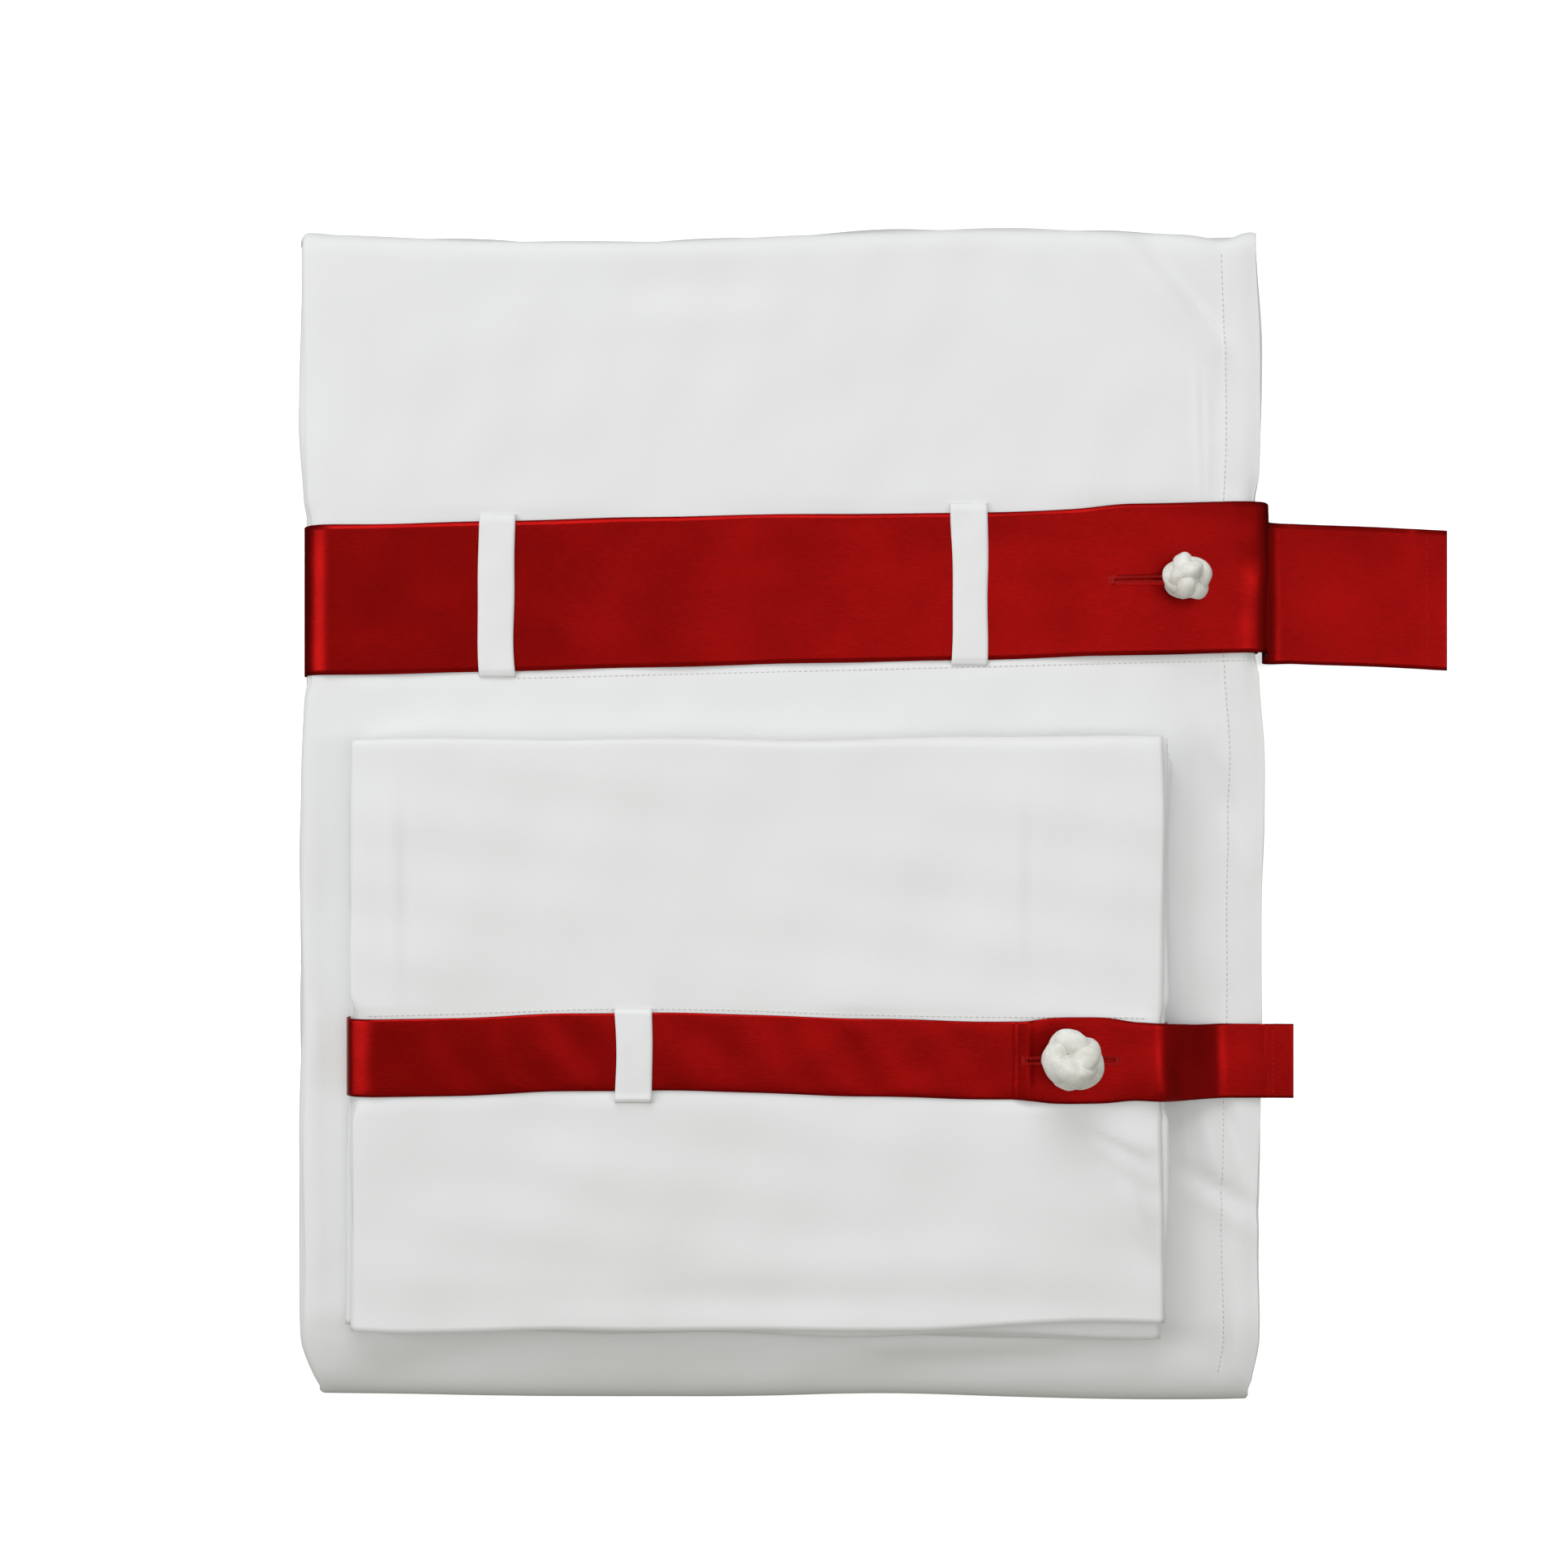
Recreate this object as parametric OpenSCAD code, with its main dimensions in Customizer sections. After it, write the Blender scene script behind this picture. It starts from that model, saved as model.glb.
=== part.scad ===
// A folded bed linen set: a duvet cover folded flat and held by a wide satin sash, and on it
// a pair of folded pillowcases held by a narrow sash. Each sash runs through sewn cloth loops,
// round its packet and over a knotted cloth button, and ends in a free tail.
// Z is up, the set rests on Z = 0, and the origin is the middle of the cover's underside.

/* [Folded duvet cover] */
// Width of the folded cover, left to right
cover_w = 480; // [400:5:576]
// Length of the folded cover, bottom to top
cover_l = 576; // [480:4:692]
// Height of the folded cover
cover_h = 36; // [30:1:44]
// Width of the turned hem along the cover's opening
opening_hem_w = 20; // [15:1:25]

/* [Cloth, ribbon and thread] */
// Space left between neighbouring plies
ply_gap = 0.3; // [0.3:0.05:0.4]
// Thickness of the satin ribbon
ribbon_t = 0.6; // [0.5:0.05:0.8]
// Space between the two ribbon ends where they lap at the button
lap_gap = 1.2; // [1.1:0.1:1.6]
// Thickness of a loop's cloth and of a turned hem
hem_t = 0.6; // [0.5:0.05:0.8]
// Height of a line of stitches over the cloth
thread_t = 0.2; // [0.1:0.05:0.25]
// Width of a line of stitches
thread_w = 0.8; // [0.5:0.1:1.2]

/* [Wide sash] */
// Width of the wide ribbon
wide_w = 75; // [60:1:90]
// Distance from the cover's middle line up to the sash's middle
wide_y = 113; // [90:1:135]
// How far the sash climbs from the cover's left edge to its right edge
wide_rise = 11.8; // [0:0.1:16]
// Length of ribbon lapped over the button end, measured in from the right edge
wide_lap = 88; // [73:1:106]
// Length of the free tail that lies beside the cover
wide_tail_l = 101; // [84:1:121]
// How far the tail drifts back down towards its end
wide_tail_drift = 4; // [0:0.5:6]
// Width of the turned hem on each tail's end
tail_hem_w = 9; // [7:0.5:11]

/* [Cloth loops] */
// Width of a cloth loop
loop_w = 18; // [14:1:22]
// Distance from the cover's middle to the left loop's middle
left_loop_x = 141; // [117:1:170]
// Distance from the cover's middle to the right loop's middle
right_loop_x = 94; // [78:1:112]
// Room between the ribbon's edge and a loop's leg
loop_room = 0.8; // [0.7:0.1:1.2]
// Length of a loop's sewn foot
foot_l = 1.6; // [1.2:0.1:2.2]

/* [Pillowcases] */
// Width of a folded pillowcase
case_w = 397; // [330:1:440]
// Length of a folded pillowcase
case_l = 290; // [240:1:340]
// Height of one folded pillowcase
case_h = 9.85; // [8.2:0.05:12]
// Distance from the cover's middle across to the pillowcases' middle
case_x = -12.7; // [-20:0.1:10]
// Distance from the cover's middle along to the pillowcases' middle
case_y = -106.3; // [-118:0.1:-80]
// How far the lower case shows past the upper one, to the left
lower_case_left = 2.5; // [0:0.5:5]
// How far the lower case shows past the upper one, at the bottom
lower_case_down = 4; // [0:0.5:6]

/* [Narrow sash] */
// Width of the narrow ribbon
narrow_w = 38; // [32:1:46]
// Distance from the pillowcases' middle line down to the sash's middle
narrow_down = 12; // [0:0.5:24]
// Length of ribbon lapped over the button end, measured in from the right edge
narrow_lap = 68; // [57:1:82]
// Run of the free tail, measured along the table
narrow_tail_l = 68; // [62:1:82]
// Run of the tail's sloping part, from the packet's edge down to the cover
narrow_slope_l = 38; // [32:1:46]
// Distance from the pillowcases' middle to the small loop's middle
small_loop_x = 59; // [49:1:71]

/* [Knot buttons] */
// Diameter of the duvet cover's knot button
large_button_d = 23.5; // [19.5:0.5:28.5]
// Distance from the cover's right edge in to its button
large_button_in = 38; // [32:1:46]
// Diameter of the pillowcases' knot button
small_button_d = 30; // [25:0.5:36]
// Distance from the pillowcases' right edge in to their button
small_button_in = 43.5; // [36:0.5:52]
// Diameter of a button's thread shank
shank_d = 3.2; // [2.6:0.1:4]
// Room round a shank where it stands in its buttonhole
shank_room = 1; // [0.8:0.1:1.4]
// Room between a knot button and the ribbon under it
button_room = 1.2; // [1:0.1:1.6]
// Length of the wide sash's buttonhole, from the shank to its far end
wide_slit_l = 34; // [28:1:41]
// Length of the narrow sash's buttonhole, from the shank to its far end
narrow_slit_l = 20; // [17:1:24]
// Width of a buttonhole's slit
slit_w = 1.4; // [1.2:0.1:1.8]
// Width of the thread binding round a buttonhole
binding_w = 1.3; // [1:0.1:1.8]

/* [Hidden] */
$fn = 64;

cotton = [0.92, 0.93, 0.92];
cotton_shade = [0.86, 0.87, 0.85];
satin = [0.6, 0.06, 0.06];
thread_red = [0.45, 0.03, 0.03];
thread_white = [0.97, 0.97, 0.95];

// the cover lies in four leaves, each leaf a face panel and a back panel
leaf_t = (cover_h - 3 * ply_gap) / 4;
panel_t = (leaf_t - ply_gap) / 2;
cover_bend_y = -cover_l / 2 + cover_h / 2;
cover_top_bend_r = ply_gap / 2 + leaf_t;
cover_top_bend_y = cover_l / 2 - cover_top_bend_r;

// each pillowcase lies in two leaves, again a face panel and a back panel
case_leaf_t = (case_h - ply_gap) / 2;
case_panel_t = (case_leaf_t - ply_gap) / 2;
lower_case_z = cover_h + ply_gap;
upper_case_z = lower_case_z + case_h + ply_gap;
case_top_z = upper_case_z + case_h;
case_left = case_x - case_w / 2;
case_right = case_x + case_w / 2;

// the sashes stand clear of their packets by one ply gap all round
sash_out = ply_gap + ribbon_t;
lap_rise = ribbon_t + lap_gap;
wide_slope = wide_rise / cover_w;
wide_over_z = cover_h + ply_gap + lap_rise;
wide_fall_x = cover_w / 2 + sash_out + lap_gap;
wide_hinge_x = wide_fall_x + ribbon_t + 2 * ply_gap;
wide_start_x = wide_hinge_x + ply_gap;
wide_end_x = wide_start_x + wide_tail_l;
wide_button_x = cover_w / 2 - large_button_in;
wide_button_y = wide_y + wide_slope * wide_button_x;

narrow_y = case_y - narrow_down;
narrow_over_z = case_top_z + ply_gap + lap_rise;
narrow_hinge_x = case_right + sash_out + 2 * ply_gap;
narrow_start_x = narrow_hinge_x + ply_gap;
narrow_foot_x = narrow_start_x + narrow_slope_l;
narrow_end_x = narrow_start_x + narrow_tail_l;
narrow_rest_z = cover_h + thread_t + ply_gap;
small_button_x = case_right - small_button_in;

// a button's stay stitches, then its shank and the knot, from the ribbon upwards
anchor_d = 2 * shank_d;
anchor_t = 2 * thread_t;
shank_sink = 1.5;

// half a ring in the Y-Z section: the turn of a folded ply. Side is 1 or -1 along Y.
module turn(y, z, inner_r, ply, side) {
    outer_r = inner_r + ply;
    translate([y, z])
        intersection() {
            difference() {
                circle(r = outer_r);
                circle(r = inner_r);
            }
            translate([side > 0 ? 0 : -outer_r, -outer_r])
                square([outer_r, 2 * outer_r]);
        }
}

// a flat stretch of ply in the Y-Z section
module flat(y0, y1, z, ply) {
    translate([y0, z])
        square([y1 - y0, ply]);
}

// a Y-Z section drawn out across the packet, from x0
module across(x0, width) {
    translate([x0, 0, 0])
        rotate([90, 0, 90])
            linear_extrude(width)
                children();
}

// a strip of ribbon on the slanting line y = y0 + slope * x, from xa to xb
module run(xa, xb, y0, slope, width, z, t) {
    ya = y0 + slope * xa;
    yb = y0 + slope * xb;
    h = width / 2;
    translate([0, 0, z])
        linear_extrude(t)
            polygon([[xa, ya - h], [xb, yb - h], [xb, yb + h], [xa, ya + h]]);
}

// the ribbon round one packet: button end, right side, underside, left side, front and lap
module sash(x_left, x_right, z0, z1, y0, slope, width, lap, over_end) {
    a = x_left - sash_out;
    b = x_right + sash_out;
    lap_x = x_right - lap;
    front_z = z1 + ply_gap;
    over_z = front_z + lap_rise;
    side_h = front_z + ribbon_t - z0;
    run(lap_x + ply_gap, b, y0, slope, width, front_z, ribbon_t);
    run(b - ribbon_t, b, y0, slope, width, z0, side_h);
    run(a, b, y0, slope, width, z0, ribbon_t);
    run(a, a + ribbon_t, y0, slope, width, z0, side_h);
    run(a, lap_x, y0, slope, width, front_z, ribbon_t);
    run(lap_x - ribbon_t, lap_x, y0, slope, width, front_z, lap_rise + ribbon_t);
    run(lap_x - ribbon_t, over_end, y0, slope, width, over_z, ribbon_t);
}

// the outline of a buttonhole from its far end to the shank, grown all round by grow
module slit(x, y, length, grow) {
    r = slit_w / 2 + grow;
    translate([x - length, y - r])
        square([length, 2 * r]);
    translate([x - length, y])
        circle(r = r);
    translate([x, y])
        circle(d = shank_d + 2 * shank_room + 2 * grow);
}

// the thread binding that lies round a buttonhole, on the ribbon
module binding(x, y, length, z) {
    translate([0, 0, z])
        linear_extrude(thread_t)
            difference() {
                slit(x, y, length, binding_w);
                slit(x, y, length, 0);
            }
}

// a cloth loop over a sash: two sewn feet, two legs and the strap between them
module loop(x, y, sash_w, z) {
    reach = sash_w / 2 + loop_room;
    strap_z = z + 2 * ply_gap + ribbon_t;
    top = strap_z + hem_t;
    translate([x - loop_w / 2, y - reach - hem_t, strap_z])
        cube([loop_w, 2 * (reach + hem_t), hem_t]);
    for (side = [-1, 1]) {
        leg_y = side > 0 ? reach : -reach - hem_t;
        translate([x - loop_w / 2, y + leg_y, z])
            cube([loop_w, hem_t, top - z]);
        foot_y = side > 0 ? reach : -reach - hem_t - foot_l;
        translate([x - loop_w / 2, y + foot_y, z])
            cube([loop_w, hem_t + foot_l, hem_t]);
    }
}

// the dense stitches across a loop's two feet
module bartacks(x, y, sash_w, z) {
    middle = sash_w / 2 + loop_room + hem_t + foot_l / 2;
    length = loop_w - 4;
    for (side = [-1, 1])
        translate([x - length / 2, y + side * middle - thread_w / 2, z + hem_t])
            cube([length, thread_w, thread_t]);
}

// a round knot of cloth cord: a core with three crossing turns round it
module knot(x, y, z, d) {
    cord_r = 0.3 * d / 2;
    translate([x, y, z + d / 2]) {
        sphere(d = 0.88 * d);
        for (turn_about = [[0, 0, 0], [90, 0, 0], [0, 90, 0]])
            rotate(turn_about)
                rotate_extrude()
                    translate([d / 2 - cord_r, 0])
                        circle(r = cord_r);
    }
}

// where a button's knot begins, given the top of the ribbon lap that it stands on
function knot_z(over_z) = over_z + ribbon_t + thread_t + button_room;

// a button's thread shank, from just over its stay stitches into the knot
module shank(x, y, front_z, over_z) {
    foot_z = front_z + ribbon_t + anchor_t + ply_gap;
    translate([x, y, foot_z])
        cylinder(d = shank_d, h = knot_z(over_z) + shank_sink - foot_z);
}

module shank_socket(x, y, over_z) {
    translate([x, y, knot_z(over_z) - 1])
        cylinder(d = shank_d + 2 * ply_gap, h = 1 + shank_sink + ply_gap);
}

// the slot left under a packet for the sash that runs beneath it
module sash_channel(x_left, x_right, z0, y0, slope, width) {
    over = 2;
    run(x_left - over, x_right + over, y0, slope, width + 2 * ply_gap, z0 - over,
        over + ribbon_t + ply_gap);
}

module large_cover_face() {
    upper = panel_t + ply_gap;
    color(cotton)
        difference() {
            across(-cover_w / 2, cover_w) {
                flat(cover_bend_y, cover_l / 2, 0, panel_t);
                turn(cover_bend_y, cover_h / 2, cover_h / 2 - panel_t, panel_t, -1);
                flat(cover_bend_y, cover_top_bend_y, cover_h - panel_t, panel_t);
                turn(cover_top_bend_y, cover_h - cover_top_bend_r,
                     cover_top_bend_r - panel_t, panel_t, 1);
                flat(cover_bend_y, cover_top_bend_y, cover_h / 2 + ply_gap / 2, panel_t);
                turn(cover_bend_y, cover_h / 2, ply_gap / 2, panel_t, -1);
                flat(cover_bend_y, cover_l / 2, leaf_t + ply_gap + upper, panel_t);
            }
            sash_channel(-cover_w / 2, cover_w / 2, 0, wide_y, wide_slope, wide_w);
            // the seat of the opening's hem
            translate([cover_w / 2 - opening_hem_w - ply_gap, cover_bend_y - ply_gap,
                       cover_h - hem_t - ply_gap])
                cube([opening_hem_w + 2, cover_top_bend_y - cover_bend_y + 2 * ply_gap, hem_t + 2]);
        }
}

module large_cover_back() {
    color(cotton_shade)
        across(-cover_w / 2, cover_w) {
            flat(cover_bend_y, cover_l / 2, panel_t + ply_gap, panel_t);
            turn(cover_bend_y, cover_h / 2, cover_h / 2 - leaf_t, panel_t, -1);
            flat(cover_bend_y, cover_top_bend_y, cover_h - leaf_t, panel_t);
            turn(cover_top_bend_y, cover_h - cover_top_bend_r, ply_gap / 2, panel_t, 1);
            flat(cover_bend_y, cover_top_bend_y, cover_h / 2 + ply_gap * 1.5 + panel_t, panel_t);
            turn(cover_bend_y, cover_h / 2, ply_gap * 1.5 + panel_t, panel_t, -1);
            flat(cover_bend_y, cover_l / 2, leaf_t + ply_gap, panel_t);
        }
}

module large_opening_hem() {
    color(cotton)
        translate([cover_w / 2 - opening_hem_w, cover_bend_y, cover_h - hem_t])
            cube([opening_hem_w, cover_top_bend_y - cover_bend_y, hem_t]);
}

module large_hem_seam() {
    color(thread_white)
        translate([cover_w / 2 - opening_hem_w + thread_w, cover_bend_y, cover_h])
            cube([thread_w, cover_top_bend_y - cover_bend_y, thread_t]);
}

module large_face_seam() {
    drop = wide_w / 2 + loop_room + hem_t + foot_l + thread_w;
    start_x = -left_loop_x + loop_w / 2;
    end_x = cover_w / 2 - opening_hem_w - thread_w;
    color(thread_white)
        run(start_x, end_x, wide_y - drop, wide_slope, thread_w, cover_h, thread_t);
}

module large_loop_left() {
    color(cotton)
        loop(-left_loop_x, wide_y - wide_slope * left_loop_x, wide_w, cover_h);
}

module large_loop_right() {
    color(cotton)
        loop(right_loop_x, wide_y + wide_slope * right_loop_x, wide_w, cover_h);
}

module large_loop_bartacks() {
    color(thread_white)
        for (x = [-left_loop_x, right_loop_x])
            bartacks(x, wide_y + wide_slope * x, wide_w, cover_h);
}

module wide_band() {
    half = cover_w / 2;
    fall_end = wide_fall_x + ribbon_t;
    color(satin)
        difference() {
            union() {
                sash(-half, half, 0, cover_h, wide_y, wide_slope, wide_w, wide_lap, fall_end);
                run(wide_fall_x, fall_end, wide_y, wide_slope, wide_w, 0, wide_over_z + ribbon_t);
            }
            translate([0, 0, wide_over_z - ply_gap])
                linear_extrude(ribbon_t + 2 * ply_gap)
                    slit(wide_button_x, wide_button_y, wide_slit_l, 0);
        }
}

module wide_buttonhole_binding() {
    color(thread_red)
        binding(wide_button_x, wide_button_y, wide_slit_l, wide_over_z + ribbon_t);
}

module large_button_anchor() {
    color(thread_white)
        translate([wide_button_x, wide_button_y, cover_h + sash_out])
            cylinder(d = anchor_d, h = anchor_t);
}

module tail_strip(x0, x1, z, t) {
    span = wide_end_x - wide_start_x;
    y_start = wide_y + wide_slope * cover_w / 2 - wide_tail_drift;
    slope = -wide_tail_drift / span;
    run(x0, x1, y_start - slope * wide_start_x, slope, wide_w, z, t);
}

module wide_band_tail() {
    color(satin)
        tail_strip(wide_start_x, wide_end_x - tail_hem_w, 0, ribbon_t);
}

module wide_tail_hem() {
    color(satin)
        tail_strip(wide_end_x - tail_hem_w, wide_end_x, 0, 2 * ribbon_t);
}

module wide_tail_hem_seam() {
    seam_x = wide_end_x - tail_hem_w + thread_w;
    color(thread_red)
        tail_strip(seam_x, seam_x + thread_w, 2 * ribbon_t, thread_t);
}

module large_knot_button() {
    color(cotton)
        difference() {
            knot(wide_button_x, wide_button_y, knot_z(wide_over_z), large_button_d);
            shank_socket(wide_button_x, wide_button_y, wide_over_z);
        }
}

module large_button_shank() {
    color(thread_white)
        shank(wide_button_x, wide_button_y, cover_h + ply_gap, wide_over_z);
}

// one panel of a pillowcase folded in two, with its turn at the top edge
module case_panel(x, y, z, outer) {
    bend_y = y + case_l / 2 - case_h / 2;
    step = case_panel_t + ply_gap;
    across(x - case_w / 2, case_w) {
        flat(y - case_l / 2, bend_y, z + (outer ? 0 : step), case_panel_t);
        turn(bend_y, z + case_h / 2,
             outer ? case_h / 2 - case_panel_t : ply_gap / 2, case_panel_t, 1);
        flat(y - case_l / 2, bend_y, z + case_leaf_t + ply_gap + (outer ? step : 0), case_panel_t);
    }
}

module upper_case_face() {
    color(cotton)
        case_panel(case_x, case_y, upper_case_z, true);
}

module upper_case_back() {
    color(cotton_shade)
        case_panel(case_x, case_y, upper_case_z, false);
}

module lower_case_face() {
    color(cotton)
        difference() {
            case_panel(case_x - lower_case_left, case_y - lower_case_down, lower_case_z, true);
            sash_channel(case_left - lower_case_left, case_right, lower_case_z,
                         narrow_y, 0, narrow_w);
        }
}

module lower_case_back() {
    color(cotton_shade)
        case_panel(case_x - lower_case_left, case_y - lower_case_down, lower_case_z, false);
}

module small_face_seam() {
    rise = narrow_w / 2 + loop_room + hem_t + foot_l + thread_w;
    color(thread_white)
        run(case_left + tail_hem_w, case_right - tail_hem_w, narrow_y + rise, 0, thread_w,
            case_top_z, thread_t);
}

module small_loop() {
    color(cotton)
        loop(case_x - small_loop_x, narrow_y, narrow_w, case_top_z);
}

module small_loop_bartacks() {
    color(thread_white)
        bartacks(case_x - small_loop_x, narrow_y, narrow_w, case_top_z);
}

module narrow_band() {
    color(satin)
        difference() {
            sash(case_left - lower_case_left, case_right, lower_case_z, case_top_z,
                 narrow_y, 0, narrow_w, narrow_lap, case_right + sash_out);
            translate([0, 0, narrow_over_z - ply_gap])
                linear_extrude(ribbon_t + 2 * ply_gap)
                    slit(small_button_x, narrow_y, narrow_slit_l, 0);
        }
}

module narrow_buttonhole_binding() {
    color(thread_red)
        binding(small_button_x, narrow_y, narrow_slit_l, narrow_over_z + ribbon_t);
}

module small_button_anchor() {
    color(thread_white)
        translate([small_button_x, narrow_y, case_top_z + sash_out])
            cylinder(d = anchor_d, h = anchor_t);
}

module narrow_band_tail() {
    top_z = narrow_over_z;
    low_z = narrow_rest_z;
    end_x = narrow_end_x - tail_hem_w;
    color(satin)
        translate([0, narrow_y + narrow_w / 2, 0])
            rotate([90, 0, 0])
                linear_extrude(narrow_w)
                    polygon([
                        [narrow_start_x, top_z], [narrow_foot_x, low_z], [end_x, low_z],
                        [end_x, low_z + ribbon_t], [narrow_foot_x, low_z + ribbon_t],
                        [narrow_start_x, top_z + ribbon_t],
                    ]);
}

module narrow_tail_hem() {
    color(satin)
        run(narrow_end_x - tail_hem_w, narrow_end_x, narrow_y, 0, narrow_w,
            narrow_rest_z, 2 * ribbon_t);
}

module narrow_tail_hem_seam() {
    seam_x = narrow_end_x - tail_hem_w + thread_w;
    color(thread_red)
        run(seam_x, seam_x + thread_w, narrow_y, 0, narrow_w,
            narrow_rest_z + 2 * ribbon_t, thread_t);
}

module small_knot_button() {
    color(cotton)
        difference() {
            knot(small_button_x, narrow_y, knot_z(narrow_over_z), small_button_d);
            shank_socket(small_button_x, narrow_y, narrow_over_z);
        }
}

module small_button_shank() {
    color(thread_white)
        shank(small_button_x, narrow_y, case_top_z + ply_gap, narrow_over_z);
}

large_cover_face();
large_cover_back();
large_opening_hem();
large_hem_seam();
large_face_seam();
large_loop_left();
large_loop_right();
large_loop_bartacks();
wide_band();
wide_buttonhole_binding();
large_button_anchor();
wide_band_tail();
wide_tail_hem();
wide_tail_hem_seam();
large_knot_button();
large_button_shank();
upper_case_face();
upper_case_back();
lower_case_face();
lower_case_back();
small_face_seam();
small_loop();
small_loop_bartacks();
narrow_band();
narrow_buttonhole_binding();
small_button_anchor();
narrow_band_tail();
narrow_tail_hem();
narrow_tail_hem_seam();
small_knot_button();
small_button_shank();
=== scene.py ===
"""A folded set of white bed linen: a duvet cover held by a wide red sash, and on it a pair of
pillowcases held by a narrow one. Each sash is buttoned over a knot of cotton cord."""
import math

import bmesh
import bpy
import numpy as np
from mathutils import Matrix, Vector


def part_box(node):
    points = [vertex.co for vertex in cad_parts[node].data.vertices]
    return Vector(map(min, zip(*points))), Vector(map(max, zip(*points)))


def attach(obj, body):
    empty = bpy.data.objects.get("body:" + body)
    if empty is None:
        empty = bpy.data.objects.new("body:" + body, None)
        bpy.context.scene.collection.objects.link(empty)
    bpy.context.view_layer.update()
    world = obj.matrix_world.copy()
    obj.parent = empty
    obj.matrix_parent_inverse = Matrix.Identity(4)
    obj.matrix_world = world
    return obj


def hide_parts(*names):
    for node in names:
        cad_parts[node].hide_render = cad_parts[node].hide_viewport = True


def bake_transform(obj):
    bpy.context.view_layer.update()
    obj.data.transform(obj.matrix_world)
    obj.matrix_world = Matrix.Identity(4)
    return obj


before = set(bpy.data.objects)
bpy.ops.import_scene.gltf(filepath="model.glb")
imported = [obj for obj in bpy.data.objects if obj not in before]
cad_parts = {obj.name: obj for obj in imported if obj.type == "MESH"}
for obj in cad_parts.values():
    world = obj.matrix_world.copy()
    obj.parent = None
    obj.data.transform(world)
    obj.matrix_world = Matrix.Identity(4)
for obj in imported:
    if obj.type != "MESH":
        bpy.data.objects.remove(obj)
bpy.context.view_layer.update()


# ---- The duvet cover -------------------------------------------------------------------
# Two panels of cotton percale, 2.0 x 2.3 m, sewn together on three sides and hemmed at the
# opening. It is folded in four across and in four along, with the hems down the right edge.

CLOTH = 0.00034  # thickness of the percale
HEM_WIDTH = 0.020
HEM_DEPTH = 0.0005  # from the panel down to its turned hem
COVER_CORNER = 0.012

cover_low, cover_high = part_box("large_cover_face")
cover_size = cover_high - cover_low
half_w, half_l, cover_h = cover_size.x / 2, cover_size.y / 2, cover_size.z
sash_low, sash_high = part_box("wide_band")
SASH_WIDTH = 0.075
sash_slope = (sash_high.y - sash_low.y - SASH_WIDTH) / (sash_high.x - sash_low.x)
case_low, case_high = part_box("upper_case_face")


def smooth(t):
    """0 below 0, 1 above 1, and a soft step between them."""
    t = np.clip(t, 0, 1)
    return t * t * (3 - 2 * t)


def ripple(x, y, seed, size, waves=7):
    """A soft unevenness of about -1 to 1, whose swells are about size across."""
    draw = np.random.default_rng(seed)
    total = 0
    for _ in range(waves):
        angle, phase = draw.uniform(0, math.tau, 2)
        rate = math.tau / (size * draw.uniform(0.7, 1.6))
        total = total + np.sin(rate * (x * math.cos(angle) + y * math.sin(angle)) + phase)
    return total / math.sqrt(waves)


def crease(x, y, start, end, width):
    """A ridge of height 1 that runs from start to end and dies away at both."""
    (x0, y0), (x1, y1) = start, end
    length = math.hypot(x1 - x0, y1 - y0)
    along = ((x - x0) * (x1 - x0) + (y - y0) * (y1 - y0)) / length**2
    across = ((x - x0) * (y1 - y0) - (y - y0) * (x1 - x0)) / length
    ends = np.sin(math.pi * np.clip(along, 0, 1))
    return ends * np.exp(-((across / width) ** 2))


def creases(x, y, lines):
    """The sum of a list of creases, each given by its height, its width and its two ends."""
    return sum(height * crease(x, y, start, end, width) for height, width, start, end in lines)


def sash_line(x):
    """The middle of the wide sash where it crosses the cover at x."""
    middle = (sash_low + sash_high) / 2
    return middle.y + sash_slope * (x - middle.x)


def under_sash(x, y, edge=0.006):
    """1 where the wide sash presses on the cover, 0 away from it."""
    return 1 - smooth((np.abs(y - sash_line(x)) - SASH_WIDTH / 2) / edge)


def under_cases(x, y, edge=0.006):
    """1 where the pillowcases lie on the cover, 0 away from them."""
    beside = np.maximum(case_low.x - x, x - case_high.x - 0.004)
    past = np.maximum(case_low.y - y, y - case_high.y)
    return 1 - smooth(np.maximum(beside, past) / edge)


COVER_CREASES = [
    # fanning from the top edge to the hem's corner
    (0.0022, 0.007, (0.165, 0.292), (0.222, 0.222)),
    (-0.0026, 0.006, (0.172, 0.300), (0.236, 0.225)),
    (0.0007, 0.009, (0.110, 0.289), (0.160, 0.262)),
    # beside the hem, over the sash
    (0.0008, 0.0016, (0.2065, 0.235), (0.2095, 0.150)),
    (0.0007, 0.0016, (0.2125, 0.225), (0.2135, 0.155)),
    # along the top edge, on the left
    (-0.0013, 0.014, (-0.125, 0.262), (0.040, 0.266)),
    (0.0008, 0.010, (-0.100, 0.249), (0.020, 0.252)),
    # puckers between the pillowcases and the hem
    (-0.0026, 0.006, (0.203, 0.050), (0.236, -0.026)),
    (-0.0026, 0.004, (0.214, -0.120), (0.236, -0.192)),
    (0.0016, 0.004, (0.208, -0.140), (0.224, -0.200)),
    (-0.0026, 0.004, (0.190, -0.170), (0.256, -0.208)),
    (0.0014, 0.004, (0.200, -0.184), (0.246, -0.214)),
    (-0.0014, 0.005, (0.218, -0.190), (0.230, -0.290)),
    (0.0010, 0.005, (0.196, -0.060), (0.206, -0.240)),
    # down the left edge
    (-0.0012, 0.008, (-0.224, 0.030), (-0.226, -0.250)),
    # on the roll along the bottom
    (0.0016, 0.003, (-0.030, -0.252), (0.100, -0.268)),
    (-0.0030, 0.007, (0.000, -0.285), (0.230, -0.262)),
    (0.0024, 0.009, (0.020, -0.262), (0.150, -0.262)),
    (-0.0026, 0.009, (-0.225, -0.285), (-0.110, -0.262)),
]
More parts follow.
